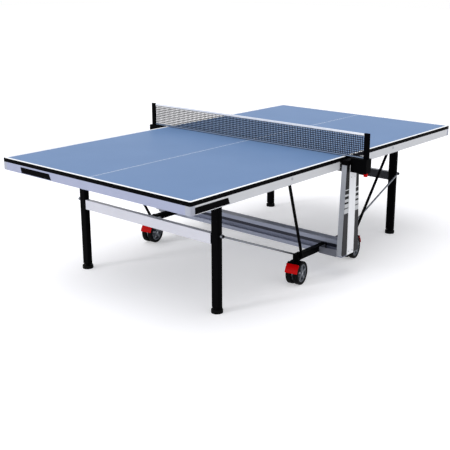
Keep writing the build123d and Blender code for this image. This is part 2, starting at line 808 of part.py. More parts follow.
# Caster of the near left corner: fork with its swivel stem, axle, hood and pedal pin
fork_outer = arm_offset + fork_plate / 2
wheel_inner = wheel_spacing / 2
axle_half = wheel_inner + tyre_width
axle_spot = (axle_place, wheel_radius)
pedal_spot = (axle_place + pedal_pivot[0], wheel_radius + pedal_pivot[1])
crown_top = arm_bottom - slide_fit
hood_middle_angle = (hood_low_angle + hood_high_angle) / 2
with BuildPart() as caster_fork:
    with BuildSketch(level(fork_outer)):
        with Locations(axle_spot):
            Circle(fork_axle_radius)
        with Locations(pedal_spot):
            Circle(pedal_lug_radius)
        with Locations((-stem_place, fork_crown_height)):
            Circle(fork_crown_radius)
        with Locations(around_axle(pedal_inner + pedal_thickness / 2, hood_middle_angle)):
            Circle(pedal_thickness / 2)
        make_hull()
    extrude(amount=fork_plate)
    with BuildSketch(level(arm_offset + axle_half)):
        with BuildLine():
            ThreePointArc(
                around_axle(pedal_inner, hood_low_angle),
                around_axle(pedal_inner, hood_middle_angle),
                around_axle(pedal_inner, hood_high_angle),
            )
            Line(
                around_axle(pedal_inner, hood_high_angle),
                around_axle(pedal_outer, hood_high_angle),
            )
            ThreePointArc(
                around_axle(pedal_outer, hood_high_angle),
                around_axle(pedal_outer, hood_middle_angle),
                around_axle(pedal_outer, hood_low_angle),
            )
            Line(
                around_axle(pedal_outer, hood_low_angle),
                around_axle(pedal_inner, hood_low_angle),
            )
        make_face()
    extrude(amount=2 * axle_half)
    with BuildSketch(Plane.XY.offset(crown_top)):
        with Locations((-stem_place, arm_offset)):
            Circle(fork_crown_radius)
    extrude(amount=-fork_crown_disc)
    with BuildSketch(Plane.XY.offset(fork_crown_height)):
        with Locations((-stem_place, arm_offset)):
            Circle(stem_diameter / 2)
    extrude(amount=arm_bottom + arm_height + socket_rise + slide_fit - fork_crown_height)
    with BuildSketch(Plane.XY.offset(arm_bottom + arm_height + socket_rise + slide_fit)):
        with Locations((-stem_place, arm_offset)):
            Circle(stem_washer_diameter / 2)
    extrude(amount=stem_washer_height)
    with BuildSketch(level(arm_offset + axle_half)):
        with Locations(axle_spot):
            Circle(axle_diameter / 2)
    extrude(amount=2 * axle_half)
    pedal_pin_half = fork_plate / 2 + side_play + pedal_cheek
    with BuildSketch(level(arm_offset + pedal_pin_half)):
        with Locations(pedal_spot):
            Circle(pedal_pin_diameter / 2)
    extrude(amount=2 * pedal_pin_half)

# Spoked hubs of the twin wheels
with BuildPart() as caster_hubs:
    with BuildSketch(level(arm_offset + wheel_inner + (tyre_width + hub_width) / 2)):
        with Locations(axle_spot):
            Circle(tyre_inner_diameter / 2)
            Circle(tyre_inner_diameter / 2 - hub_rim, mode=Mode.SUBTRACT)
            Circle(hub_boss_diameter / 2)
            with PolarLocations(0, hub_spokes, start_angle=90):
                Rectangle(
                    tyre_inner_diameter / 2 - hub_rim / 2,
                    hub_spoke_width,
                    align=(Align.MIN, Align.CENTER),
                )
            Circle(axle_diameter / 2 + running_fit, mode=Mode.SUBTRACT)
    extrude(amount=hub_width)
    mirror(about=Plane.XZ.offset(-arm_offset))

# Tyres with rounded treads
with BuildPart() as caster_tyres:
    with BuildSketch(Plane.YZ.offset(axle_place)):
        with Locations((arm_offset + wheel_inner + tyre_width / 2, wheel_radius)):
            with Locations((0, tyre_inner_diameter / 2)):
                Rectangle(
                    tyre_width,
                    wheel_radius - tyre_inner_diameter / 2,
                    align=(Align.CENTER, Align.MIN),
                )
        fillet(vertices().group_by(Axis.Y)[-1], tyre_round)
    revolve(axis=Axis((axle_place, 0, wheel_radius), (0, 1, 0)))
    mirror(about=Plane.XZ.offset(-arm_offset))

# Brake pedal: a curved shield ahead of the tyres with a lip along its top, on two cheeks
pedal_lip_low = pedal_high_angle - pedal_lip_angle
pedal_lip = pedal_outer + pedal_lip_reach
with BuildPart() as brake_pedal:
    with BuildSketch(level(arm_offset + axle_half)):
        with BuildLine():
            ThreePointArc(
                around_axle(pedal_inner, pedal_low_angle),
                around_axle(pedal_inner, (pedal_low_angle + pedal_high_angle) / 2),
                around_axle(pedal_inner, pedal_high_angle),
            )
            Polyline(
                around_axle(pedal_inner, pedal_high_angle),
                around_axle(pedal_lip, pedal_high_angle),
                around_axle(pedal_lip, pedal_lip_low),
                around_axle(pedal_outer, pedal_lip_low),
            )
            ThreePointArc(
                around_axle(pedal_outer, pedal_lip_low),
                around_axle(pedal_outer, (pedal_low_angle + pedal_lip_low) / 2),
                around_axle(pedal_outer, pedal_low_angle),
            )
            Line(
                around_axle(pedal_outer, pedal_low_angle),
                around_axle(pedal_inner, pedal_low_angle),
            )
        make_face()
    extrude(amount=2 * axle_half)
    with BuildSketch(level(arm_offset + fork_plate / 2 + side_play + pedal_cheek)):
        with Locations(pedal_spot):
            Circle(pedal_lug_radius)
        for cheek_angle in (pedal_low_angle + 10, pedal_high_angle - 10):
            with Locations(around_axle(pedal_inner + pedal_thickness / 2, cheek_angle)):
                Circle(pedal_thickness / 2)
        make_hull()
        with Locations(pedal_spot):
            Circle(pedal_pin_diameter / 2 + running_fit, mode=Mode.SUBTRACT)
    cheek = extrude(amount=pedal_cheek)
    mirror(cheek, about=Plane.XZ.offset(-arm_offset))

# Pieces of the trolley that are drawn whole
for name, piece in (
    ("base_beam", base_beam),
    ("wheel_arms", wheel_arms),
    ("base_wings", base_wings),
    ("upright_trims", upright_trims),
    ("post_brackets", post_brackets),
    ("net_posts", net_posts),
    ("net_mesh", net_mesh),
    ("net_tapes", net_tapes),
):
    export_step(piece.part, f"parts/{name}.step")

# Left pieces of the trolley and their mirror images on the right
for name, piece in (
    ("upright", upright),
    ("unlock_handle", unlock_handle),
):
    export_step(piece.part, f"parts/{name}_left.step")
    with BuildPart() as right_piece:
        mirror(piece.part, about=Plane.XZ)
    export_step(right_piece.part, f"parts/{name}_right.step")

# Near half and its mirror image
for name, piece in (
    ("panel", panel),
    ("edge_band", edge_band),
    ("apron_end", apron_end),
    ("apron_sides", apron_sides),
    ("corner_caps", corner_caps),
    ("cross_rails", cross_rails),
    ("guide_blocks", guide_blocks),
    ("guide_rollers", guide_rollers),
    ("leg_brackets", leg_brackets),
    ("pivot_pins", pivot_pins),
    ("leg_tubes", leg_tubes),
    ("leg_crossbar", leg_crossbar),
    ("stay_rods", stay_rods),
    ("leg_links", leg_links),
):
    export_step(piece.part, f"parts/near_{name}.step")
    with BuildPart() as far_piece:
        mirror(piece.part, about=Plane.YZ)
    export_step(far_piece.part, f"parts/far_{name}.step")

# Four levelling feet
for end, x_sign in (("near", 1), ("far", -1)):
    for side, y_sign in (("left", 1), ("right", -1)):
        with BuildPart() as placed_foot:
            with Locations((-x_sign * leg_place, y_sign * leg_offset, 0)):
                add(leg_foot.part)
        export_step(placed_foot.part, f"parts/{end}_{side}_foot.step")

# Four casters, all swivelled the way the trolley last rolled
for name, piece in (
    ("fork", caster_fork),
    ("hubs", caster_hubs),
    ("tyres", caster_tyres),
    ("pedal", brake_pedal),
):
    for end, x_sign in (("near", 1), ("far", -1)):
        for side, y_sign in (("left", 1), ("right", -1)):
            stem = Location((-x_sign * stem_place, y_sign * arm_offset, 0))
            drawn = piece.part if y_sign > 0 else mirror(piece.part, about=Plane.XZ)
            placed = drawn if x_sign > 0 else mirror(drawn, about=Plane.YZ)
            with BuildPart() as caster_piece:
                add(stem * Rotation(0, 0, caster_swivel) * stem.inverse() * placed)
            export_step(caster_piece.part, f"parts/{end}_{side}_caster_{name}.step")
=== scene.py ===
# %% [markdown]
# # A folding ping pong table
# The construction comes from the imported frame: boards, aprons, legs, trolley and casters. This
# lesson gives every piece its finish, knots the net that the frame only holds as a plain sheet, and
# adds the small parts that a maker adds last: screws, axle caps, stitched tapes and black plates.

# %% Load the frame
import json
import math

import bmesh
import bpy
from mathutils import Matrix, Vector


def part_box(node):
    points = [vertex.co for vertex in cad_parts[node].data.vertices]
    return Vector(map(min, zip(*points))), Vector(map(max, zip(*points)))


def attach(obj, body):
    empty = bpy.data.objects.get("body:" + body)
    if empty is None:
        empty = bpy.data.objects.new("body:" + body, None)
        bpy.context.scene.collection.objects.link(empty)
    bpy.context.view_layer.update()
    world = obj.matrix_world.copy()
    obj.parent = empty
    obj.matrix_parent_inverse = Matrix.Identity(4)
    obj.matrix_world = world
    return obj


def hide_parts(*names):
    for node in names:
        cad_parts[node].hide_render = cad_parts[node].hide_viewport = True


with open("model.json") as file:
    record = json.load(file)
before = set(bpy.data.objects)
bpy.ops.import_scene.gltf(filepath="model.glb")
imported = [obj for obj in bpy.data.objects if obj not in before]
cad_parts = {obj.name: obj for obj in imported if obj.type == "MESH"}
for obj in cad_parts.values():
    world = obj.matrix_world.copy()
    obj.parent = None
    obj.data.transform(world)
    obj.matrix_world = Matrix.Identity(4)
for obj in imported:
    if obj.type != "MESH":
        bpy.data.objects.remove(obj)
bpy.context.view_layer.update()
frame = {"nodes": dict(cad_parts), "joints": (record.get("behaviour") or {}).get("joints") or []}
scene = bpy.context.scene
scene.view_settings.view_transform = "Standard"
MM = 0.001

# %% [markdown]
# Colours are written as the hex values that a painter would read off a swatch. Blender's shaders
# work in linear light, so one function converts them. A second one adds any node with its settings
# and links, and every tree in this file, for a material or for geometry, is built with it.


# %% Colour and node helpers
def linear(hex_colour):
    """The linear light of a colour written as #RRGGBB."""
    channels = [int(hex_colour[i : i + 2], 16) / 255 for i in (1, 3, 5)]
    curve = [c / 12.92 if c <= 0.04045 else ((c + 0.055) / 1.055) ** 2.4 for c in channels]
    return (*curve, 1.0)


def add_node(tree, kind, links=None, inputs=None, **settings):
    """Adds a node: links come from other nodes, inputs are plain values."""
    node = tree.nodes.new(kind)
    for name, value in settings.items():
        setattr(node, name, value)
    for key, value in (inputs or {}).items():
        node.inputs[key].default_value = value
    for key, source in (links or {}).items():
        tree.links.new(source, node.inputs[key])
    return node


def start_material(name, roughness, metallic=0.0, gloss=0.5):
    """A material with its tree, its shader and the piece's own coordinates."""
    material = bpy.data.materials.new(name)
    material.use_nodes = True
    tree = material.node_tree
    shader = tree.nodes["Principled BSDF"]
    shader.inputs["Roughness"].default_value = roughness
    shader.inputs["Metallic"].default_value = metallic
    shader.inputs["Specular IOR Level"].default_value = gloss
    place = add_node(tree, "ShaderNodeTexCoord").outputs["Object"]
    return material, tree, shader, place


print("black", linear("#101014")[:3])

# %% [markdown]
# ## The playing top
# The board is fibreboard under a matt acrylic lacquer, rolled on so that the ball grips it evenly.
# The lines are painted: 20 mm along the sides and ends, 3 mm down the middle for doubles. An image
# could hold them, but placed by the board's own coordinates they stay sharp at any distance.

# %% Lines of the court
TOP_HALF_LENGTH, TOP_HALF_WIDTH, TOP_HEIGHT = 1370 * MM, 762.5 * MM, 760 * MM
SIDE_LINE, MIDDLE_LINE = 20 * MM, 3 * MM

board_lacquer, tree, shader, place = start_material(
    "acrylic lacquer on fibreboard", 0.47, gloss=0.3
)
axes = add_node(tree, "ShaderNodeSeparateXYZ", {0: place})
along = add_node(tree, "ShaderNodeMath", {0: axes.outputs["X"]}, operation="ABSOLUTE")
across = add_node(tree, "ShaderNodeMath", {0: axes.outputs["Y"]}, operation="ABSOLUTE")
end_line = add_node(
    tree,
    "ShaderNodeMath",
    {0: along.outputs[0]},
    {1: TOP_HALF_LENGTH - SIDE_LINE},
    operation="GREATER_THAN",
)
side_line = add_node(
    tree,
    "ShaderNodeMath",
    {0: across.outputs[0]},
    {1: TOP_HALF_WIDTH - SIDE_LINE},
    operation="GREATER_THAN",
)
middle_line = add_node(
    tree, "ShaderNodeMath", {0: across.outputs[0]}, {1: MIDDLE_LINE / 2}, operation="LESS_THAN"
)
outer_lines = add_node(
    tree, "ShaderNodeMath", {0: end_line.outputs[0], 1: side_line.outputs[0]}, operation="MAXIMUM"
)
lines = add_node(
    tree,
    "ShaderNodeMath",
    {0: outer_lines.outputs[0], 1: middle_line.outputs[0]},
    operation="MAXIMUM",
)
print("lines of", SIDE_LINE, "and", MIDDLE_LINE)

# %% [markdown]
# The blue wanders a little over a hand's breadth or two where the roller overlapped, and a fine
# grain breaks up the gloss. Only the upper face is lacquered: underneath, the board keeps the grey
# paper that is pressed on at the mill, so the height picks which of the two shows.

# %% Lacquer above, paper below
LACQUER_GRAIN = 4 * MM  # a real grain of 0.5 mm, drawn coarser so that it shows
LACQUER_DEPTH = 0.5 * MM
ROLLER_MARKS = 350 * MM
marks = add_node(
    tree, "ShaderNodeTexNoise", {"Vector": place}, {"Scale": 1 / ROLLER_MARKS, "Detail": 3.0}
)
blue = add_node(
    tree,
    "ShaderNodeMix",
    {0: marks.outputs["Fac"]},
    {6: linear("#5374A0"), 7: linear("#5D7DA9")},
    data_type="RGBA",
)
painted = add_node(
    tree,
    "ShaderNodeMix",
    {0: lines.outputs[0], 6: blue.outputs[2]},
    {7: linear("#F1F3F7")},
    data_type="RGBA",
)
grain = add_node(
    tree, "ShaderNodeTexNoise", {"Vector": place}, {"Scale": 1 / LACQUER_GRAIN, "Detail": 2.0}
)
paper = add_node(
    tree,
    "ShaderNodeMix",
    {0: grain.outputs["Fac"]},
    {6: linear("#464B55"), 7: linear("#565B65")},
    data_type="RGBA",
)
above = add_node(
    tree,
    "ShaderNodeMath",
    {0: axes.outputs["Z"]},
    {1: TOP_HEIGHT - LACQUER_DEPTH},
    operation="GREATER_THAN",
)
faced = add_node(
    tree,
    "ShaderNodeMix",
    {0: above.outputs[0], 6: paper.outputs[2], 7: painted.outputs[2]},
    data_type="RGBA",
)
grip = add_node(
    tree,
    "ShaderNodeBump",
    {"Height": grain.outputs["Fac"]},
    {"Strength": 0.06, "Distance": 0.3 * MM},
)
sheen = add_node(
    tree, "ShaderNodeMapRange", {"Value": grain.outputs["Fac"]}, {"To Min": 0.42, "To Max": 0.55}
)
tree.links.new(faced.outputs[2], shader.inputs["Base Color"])
tree.links.new(grip.outputs["Normal"], shader.inputs["Normal"])
tree.links.new(sheen.outputs[0], shader.inputs["Roughness"])
print("made", board_lacquer.name)

# %% [markdown]
# ## Powder coat and plastics
# Powder coat is melted plastic dust: it leaves a faint orange peel a few millimetres across.
# Moulded plastic has a finer spark-eroded texture from its mould. Both are one recipe with other
# numbers: two close colours mixed by a noise of the real texture's size, the same noise for bump,
# and a roughness that wanders a little so that no face is dead flat.


# %% A recipe for coats and mouldings
def coated(name, dark, light, skin, rough, metallic=0.0, gloss=0.4):
    """skin holds the texture's width, depth and relief, rough the limits of the roughness."""
    texture, depth, strength = skin
    material, tree, shader, place = start_material(name, rough[0], metallic, gloss)
    peel = add_node(
        tree, "ShaderNodeTexNoise", {"Vector": place}, {"Scale": 1 / texture, "Detail": 3.0}
    )
    cloud = add_node(
        tree, "ShaderNodeTexNoise", {"Vector": place}, {"Scale": 1 / CLOUD, "Detail": 2.0}
    )
    blend = add_node(
        tree,
        "ShaderNodeMath",
        {0: peel.outputs["Fac"], 1: cloud.outputs["Fac"]},
        operation="MULTIPLY",
        name="blend",
    )
    colour = add_node(
        tree,
        "ShaderNodeMix",
        {0: blend.outputs[0]},
        {6: linear(dark), 7: linear(light)},
        data_type="RGBA",
    )
    wander = add_node(
        tree,
        "ShaderNodeMapRange",
        {"Value": cloud.outputs["Fac"]},
        {"From Min": 0.3, "From Max": 0.7, "To Min": rough[0], "To Max": rough[1]},
    )
    relief = add_node(
        tree,
        "ShaderNodeBump",
        {"Height": peel.outputs["Fac"]},
        {"Strength": strength, "Distance": depth},
    )
    tree.links.new(colour.outputs[2], shader.inputs["Base Color"])
    tree.links.new(wander.outputs[0], shader.inputs["Roughness"])
    tree.links.new(relief.outputs["Normal"], shader.inputs["Normal"])
    return material


CLOUD = 180 * MM
print("clouds of", CLOUD)

# %% [markdown]
# The table's palette: silver and grey coats on the steel, black coats and mouldings on what
# should not be noticed, and red on everything that a hand or a foot works. The end aprons'
# lilac-grey coat is painted shade and reflection, and the leg links' darker zinc is painted shade.

# %% Coats, plastics and rubbers
POWDER, DEEP_POWDER = (3 * MM, 0.1 * MM, 0.12), (3 * MM, 0.15 * MM, 0.12)
MOULDED, DEEP_MOULDED = (1.5 * MM, 0.1 * MM, 0.12), (1.5 * MM, 0.15 * MM, 0.12)
PLATED, RUBBER = (6 * MM, 0.05 * MM, 0.05), (2 * MM, 0.3 * MM, 0.25)
MATT_BLACK = 0.01

silver_coat = coated("silver powder coat on steel", "#BCBEC2", "#D1D3D6", POWDER, (0.32, 0.42), 0.1)
# painted shade: the dark base colour stands for shade on the crossbars' inner faces, and the rest
# is painted bright silver below
bar_coat_with_inner_shade = coated(
    "bright silver powder coat with painted inner shade", "#12141C", "#1E212C", POWDER, (0.32, 0.42), 0.1
)
# painted shade: this dark base colour is left only in a band of the beam's web under the upper lip,
# as the lip's shadow
beam_coat_with_groove_shade = coated("grey powder coat on steel", "#1C2030", "#2C3042", POWDER, (0.34, 0.46), 0.1)
wing_coat = coated(
    "dark grey powder coat on steel", "#6A6D78", "#868993", POWDER, (0.36, 0.48), 0.2
)
upright_coat_with_flank_shade = coated("pale powder coat with painted flank shade", "#E0E2E6", "#F0F1F3", POWDER, (0.3, 0.4))
# painted shade and reflection: the end aprons' silver coat is painted darker and lilac, for the
# dimmer light and the reflection on faces turned to the near end
end_apron_shaded_coat = coated(
    "lilac-grey powder coat on steel", "#8F95AF", "#A9AEC6", POWDER, (0.32, 0.42), 0.1
)
cap_plastic = coated("silver moulded ABS", "#969AA8", "#AEB2BE", MOULDED, (0.38, 0.5))
hub_plastic = coated("grey moulded nylon", "#5E636B", "#868B93", MOULDED, (0.36, 0.5))
roller_plastic = coated("natural acetal", "#D9D7CC", "#EAE8DF", MOULDED, (0.35, 0.45))
red_plastic = coated("red moulded ABS", "#AE0204", "#CC0509", MOULDED, (0.36, 0.46), gloss=0.04)
zinc = coated("zinc-plated steel", "#9A9DA4", "#C4C7CD", PLATED, (0.28, 0.42), 0.9)
# painted shade: a darker copy of the zinc for the leg links, standing in for the shade on the near
# links
shaded_rod_zinc = coated("zinc-plated rod painted darker as shade", "#74777E", "#969AA1", PLATED, (0.3, 0.44), 0.9)
black_coat = coated(
    "black powder coat on steel", "#040405", "#0A0A0C", DEEP_POWDER, (0.3, 0.42), gloss=MATT_BLACK
)
band_plastic = coated(
    "black ABS edge band", "#040405", "#090A0D", MOULDED, (0.34, 0.46), gloss=MATT_BLACK
)
black_plastic = coated(
    "black moulded nylon", "#030304", "#09090B", DEEP_MOULDED, (0.42, 0.56), gloss=MATT_BLACK
)
tyre_rubber = coated("moulded tyre rubber", "#050506", "#0D0D0E", RUBBER, (0.55, 0.7), gloss=0.05)
foot_rubber = coated("moulded foot rubber", "#050506", "#0C0C0D", RUBBER, (0.5, 0.65), gloss=0.05)
print("coats and plastics", len(bpy.data.materials))

# %% [markdown]
# The trim panels on the uprights are printed plastic. A plain design in the same dark greys fits
# them: black above, graphite below, and between the two a ladder of level bars that grow thinner
# upwards. The bars are made from the height alone, with a sawtooth whose duty follows the height.

# %% Printed trim of the uprights
BAR_PITCH, BARS_LOW, BARS_HIGH, SPECK = 30 * MM, 420 * MM, 600 * MM, 2 * MM
trim_print, tree, shader, place = start_material("printed ABS trim", 0.38, gloss=0.1)
axes = add_node(tree, "ShaderNodeSeparateXYZ", {0: place})
climb = add_node(
    tree,
    "ShaderNodeMapRange",
    {"Value": axes.outputs["Z"]},
    {"From Min": BARS_LOW, "From Max": BARS_HIGH, "To Min": 0.0, "To Max": 1.0},
)
steps = add_node(
    tree, "ShaderNodeMath", {0: axes.outputs["Z"]}, {1: 1 / BAR_PITCH}, operation="MULTIPLY"
)
saw = add_node(tree, "ShaderNodeMath", {0: steps.outputs[0]}, operation="FRACT")
bars = add_node(
    tree, "ShaderNodeMath", {0: saw.outputs[0], 1: climb.outputs[0]}, operation="GREATER_THAN"
)
speck = add_node(tree, "ShaderNodeTexNoise", {"Vector": place}, {"Scale": 1 / SPECK, "Detail": 2.0})
graphite = add_node(
    tree,
    "ShaderNodeMix",
    {0: speck.outputs["Fac"]},
    {6: linear("#222224"), 7: linear("#303033")},
    data_type="RGBA",
)
plain = add_node(
    tree, "ShaderNodeMath", {0: axes.outputs["Z"]}, {1: BARS_LOW}, operation="LESS_THAN"
)
bar_ink = add_node(
    tree,
    "ShaderNodeMix",
    {0: bars.outputs[0]},
    {6: linear("#060607"), 7: linear("#B9BBBE")},
    data_type="RGBA",
)
ink = add_node(
    tree,
    "ShaderNodeMix",
    {0: plain.outputs[0], 6: bar_ink.outputs[2], 7: graphite.outputs[2]},
    data_type="RGBA",
)
relief = add_node(
    tree,
    "ShaderNodeBump",
    {"Height": speck.outputs["Fac"]},
    {"Strength": 0.08, "Distance": 0.1 * MM},
)
tree.links.new(ink.outputs[2], shader.inputs["Base Color"])
tree.links.new(relief.outputs["Normal"], shader.inputs["Normal"])
print("made", trim_print.name)

# %% [markdown]
# Some parts carry more than one tone, and on these parts most of it is painted shade. The uprights
# have a white rib between flanks painted grey as shade, the trolley beam has light lips, a grey web
# between them and a dark band painted as the shadow under the upper lip, and the legs' crossbars
# are painted dark on their inner side as shade. The tones could be separate faces, but the distance
# from a plane already tells them apart, so one comparison inside the finish is enough.


# %% Coats of several tones
def add_tone(material, axis, plane, limit, dark, light):
    """Another tone of the coat where the piece lies further than limit from a plane across axis."""
    tree = material.node_tree
    base = tree.nodes["Principled BSDF"].inputs["Base Color"]
    axes = add_node(
        tree, "ShaderNodeSeparateXYZ", {0: tree.nodes["Texture Coordinate"].outputs["Object"]}
    )
    offset = add_node(
        tree, "ShaderNodeMath", {0: axes.outputs[axis]}, {1: plane}, operation="SUBTRACT"
    )
    distance = add_node(tree, "ShaderNodeMath", {0: offset.outputs[0]}, operation="ABSOLUTE")
    beyond = add_node(
        tree, "ShaderNodeMath", {0: distance.outputs[0]}, {1: limit}, operation="GREATER_THAN"
    )
    tone = add_node(
        tree,
        "ShaderNodeMix",
        {0: tree.nodes["blend"].outputs[0]},
        {6: linear(dark), 7: linear(light)},
        data_type="RGBA",
    )
    both = add_node(
        tree,
        "ShaderNodeMix",
        {0: beyond.outputs[0], 6: base.links[0].from_socket, 7: tone.outputs[2]},
        data_type="RGBA",
    )
    tree.links.new(both.outputs[2], base)


RIB_HALF, WEB_HALF, GROOVE_SHADE_HEIGHT, GROOVE_SHADE_HALF = 38 * MM, 20 * MM, 186 * MM, 14 * MM
# painted shade: the pale coat stays on the upright's rib, and its flanks beyond the rib are painted
# grey as shade
add_tone(upright_coat_with_flank_shade, "X", 0, RIB_HALF, "#9A9EA6", "#B2B6BD")
# painted shade: outside a band under the upper lip the web turns grey; inside the band the dark
# base stays as the lip's shadow
add_tone(beam_coat_with_groove_shade, "Z", GROOVE_SHADE_HEIGHT, GROOVE_SHADE_HALF, "#747A90", "#8A90A6")
add_tone(beam_coat_with_groove_shade, "X", 0, WEB_HALF, "#9BA1B4", "#B3B8C9")
BAR_INNER = 936.5 * MM  # a millimetre outside the inner faces of the crossbars
# painted shade: beyond their inner faces the crossbars are bright silver, and the inner faces stay
# dark as shade
add_tone(bar_coat_with_inner_shade, "X", 0, BAR_INNER, "#C9CAD3", "#DFDFE8")
print("several tones", upright_coat_with_flank_shade.name, beam_coat_with_groove_shade.name, bar_coat_with_inner_shade.name)

# %% [markdown]
# The frame's own pieces keep their shapes and only change their finish. Each node's name says what
# it is, so the finishes are handed out by the words in it.

# %% Dress the frame's pieces
FINISHES = (
    ("panel", board_lacquer),
    ("edge_band", band_plastic),
    ("apron_end", end_apron_shaded_coat),
    ("apron", silver_coat),
    ("cross_rails", silver_coat),
    ("corner_caps", cap_plastic),
    ("guide_blocks", black_plastic),
    ("guide_rollers", roller_plastic),
    ("leg_brackets", zinc),
    ("pivot_pins", zinc),
    ("leg_tubes", black_coat),
    ("leg_crossbar", bar_coat_with_inner_shade),
    ("foot", foot_rubber),
    ("stay_rods", black_coat),
    ("leg_links", shaded_rod_zinc),
    ("base_beam", beam_coat_with_groove_shade),
    ("wheel_arms", black_coat),
    ("base_wings", wing_coat),
    ("upright_trims", trim_print),
    ("upright", upright_coat_with_flank_shade),
    ("post_brackets", black_plastic),
    ("net_posts", black_plastic),
    ("unlock_handle", red_plastic),
    ("fork", black_plastic),
    ("hubs", hub_plastic),
    ("tyres", tyre_rubber),
    ("pedal", red_plastic),
)
for name, piece in frame["nodes"].items():
    for word, finish in FINISHES:
        if word in name:
            for slot in piece.material_slots:
                slot.material = finish
            break
print("dressed", len(frame["nodes"]))

# %% [markdown]
# ## The net
# A real net is knitted from a cord a couple of millimetres thick in square meshes of about a
# centimetre. It could be one sheet with a pattern of holes, but cords of their own catch the light
# and show their thickness. Geometry Nodes draws them from a rule with named sizes. First comes the
# cord's own look.

# %% Cord of the net
CORD_LAY = 9 * MM  # scale of the wave: strands some 3 mm wide
knit, tree, shader, place = start_material("knitted nylon cord", 0.7, gloss=0.1)
twist = add_node(
    tree,
    "ShaderNodeTexWave",
    {"Vector": place},
    {"Scale": 1 / CORD_LAY, "Distortion": 2.0},
    bands_direction="DIAGONAL",
)
dye = add_node(
    tree,
    "ShaderNodeMix",
    {0: twist.outputs["Fac"]},
    {6: linear("#07080C"), 7: linear("#151824")},
    data_type="RGBA",
)
tree.links.new(dye.outputs[2], shader.inputs["Base Color"])
print("made", knit.name)

# %% [markdown]
# The tapes are plain-woven cotton: each thread runs over one and under the next, both ways, which
# two crossed waves multiplied give. The upper tape is bleached. The lower one is white cotton with
# a pale blue painted on it as the board's reflection.


# %% Cotton of the tapes
def woven(name, shade, light):
    """Cotton in a plain weave, darker between its threads."""
    material, tree, shader, place = start_material(name, 0.8)
    pitch = {"Scale": 1 / THREADS}
    warp = add_node(tree, "ShaderNodeTexWave", {"Vector": place}, pitch, bands_direction="Y")
    weft = add_node(tree, "ShaderNodeTexWave", {"Vector": place}, pitch, bands_direction="Z")
    weave = add_node(
        tree,
        "ShaderNodeMath",
        {0: warp.outputs["Fac"], 1: weft.outputs["Fac"]},
        operation="MULTIPLY",
    )
    dye = add_node(
        tree,
        "ShaderNodeMix",
        {0: weave.outputs[0]},
        {6: linear(shade), 7: linear(light)},
        data_type="RGBA",
    )
    cloth = add_node(
        tree,
        "ShaderNodeBump",
        {"Height": weave.outputs[0]},
        {"Strength": 0.3, "Distance": 0.3 * MM},
    )
    tree.links.new(dye.outputs[2], shader.inputs["Base Color"])
    tree.links.new(cloth.outputs["Normal"], shader.inputs["Normal"])
    return material


THREADS = 18.9 * MM  # scale of the wave: threads 3 mm wide, drawn coarser so that they show
white_cotton = woven("bleached cotton tape", "#DDE0E8", "#F4F5F8")
# painted reflection: the lower tape's white cotton is tinted pale blue with the board's reflection
foot_cotton_painted_blue = woven("white cotton tape with a painted blue reflection", "#8FA3C2", "#A9BBD6")
print("made", white_cotton.name, foot_cotton_painted_blue.name)

# %% [markdown]
# Every node tree below is used in the same way: its named inputs are set, it is evaluated once, and
# the result is kept as a plain mesh that rides on one of the table's bodies. Three helpers do that.


# %% Geometry Nodes helpers
def keep_piece(name, mesh, body):
    """Puts a mesh into the scene as a piece that rides on a body."""
    piece = bpy.data.objects.new(name, mesh)
    scene.collection.objects.link(piece)
    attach(piece, body)
    print(name, "faces", len(mesh.polygons))
    return piece


def start_tree(name, inputs):
    """A node tree with named inputs, and the sockets that they arrive on."""
    tree = bpy.data.node_groups.new(name, "GeometryNodeTree")
    tree.is_modifier = True
    tree.interface.new_socket("Geometry", in_out="OUTPUT", socket_type="NodeSocketGeometry")
    for label, kind in inputs:
        tree.interface.new_socket(label, in_out="INPUT", socket_type="NodeSocket" + kind)
    entry = tree.nodes.new("NodeGroupInput")
    return tree, entry.outputs


def plain_mesh(name, tree, sizes, body):
    """Runs a node tree with the given sizes and keeps its result as a plain mesh on a body."""
    carrier = bpy.data.objects.new(name + "_nodes", bpy.data.meshes.new(name))
    scene.collection.objects.link(carrier)
    modifier = carrier.modifiers.new("nodes", "NODES")
    modifier.node_group = tree
    for socket in tree.interface.items_tree:
        if socket.item_type == "SOCKET" and socket.in_out == "INPUT" and socket.name in sizes:
            modifier[socket.identifier] = sizes[socket.name]
    depsgraph = bpy.context.evaluated_depsgraph_get()
    mesh = bpy.data.meshes.new_from_object(carrier.evaluated_get(depsgraph), depsgraph=depsgraph)
    carrier.modifiers.remove(modifier)
    bpy.data.objects.remove(carrier)
    mesh.name = name
    return keep_piece(name, mesh, body)


# %% [markdown]
# The net's rule: cords strung side by side from the lower edge to the upper one, others strung
# across them, and a knot wherever two meet. The pitch is the largest that the game allows, and the
# cord is drawn thicker than the real 2 mm so that it still shows from four metres away.

# %% String the cords
mesh_low, mesh_high = (Vector(corner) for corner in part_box("net_mesh"))
net_length, net_height = mesh_high.y - mesh_low.y, mesh_high.z - mesh_low.z
NET_PITCH, NET_CORD, NET_KNOT = 12.5 * MM, 4.6 * MM, 3.2 * MM
net_tree, sizes = start_tree(
    "knotted net",
    (
        ("Corner", "Vector"),
        ("Length", "Float"),
        ("Height", "Float"),
        ("Columns", "Int"),
        ("Rows", "Int"),
        ("Cord", "Float"),
        ("Knot", "Float"),
    ),
)
to_end = add_node(net_tree, "ShaderNodeCombineXYZ", {"Y": sizes["Length"]}).outputs[0]
to_head = add_node(net_tree, "ShaderNodeCombineXYZ", {"Z": sizes["Height"]}).outputs[0]
foot_points = add_node(
    net_tree,
    "GeometryNodeMeshLine",
    {"Count": sizes["Columns"], "Offset": to_end},
    mode="END_POINTS",
)
side_points = add_node(
    net_tree, "GeometryNodeMeshLine", {"Count": sizes["Rows"], "Offset": to_head}, mode="END_POINTS"
)
upward = add_node(net_tree, "GeometryNodeCurvePrimitiveLine", {"End": to_head})
level = add_node(net_tree, "GeometryNodeCurvePrimitiveLine", {"End": to_end})
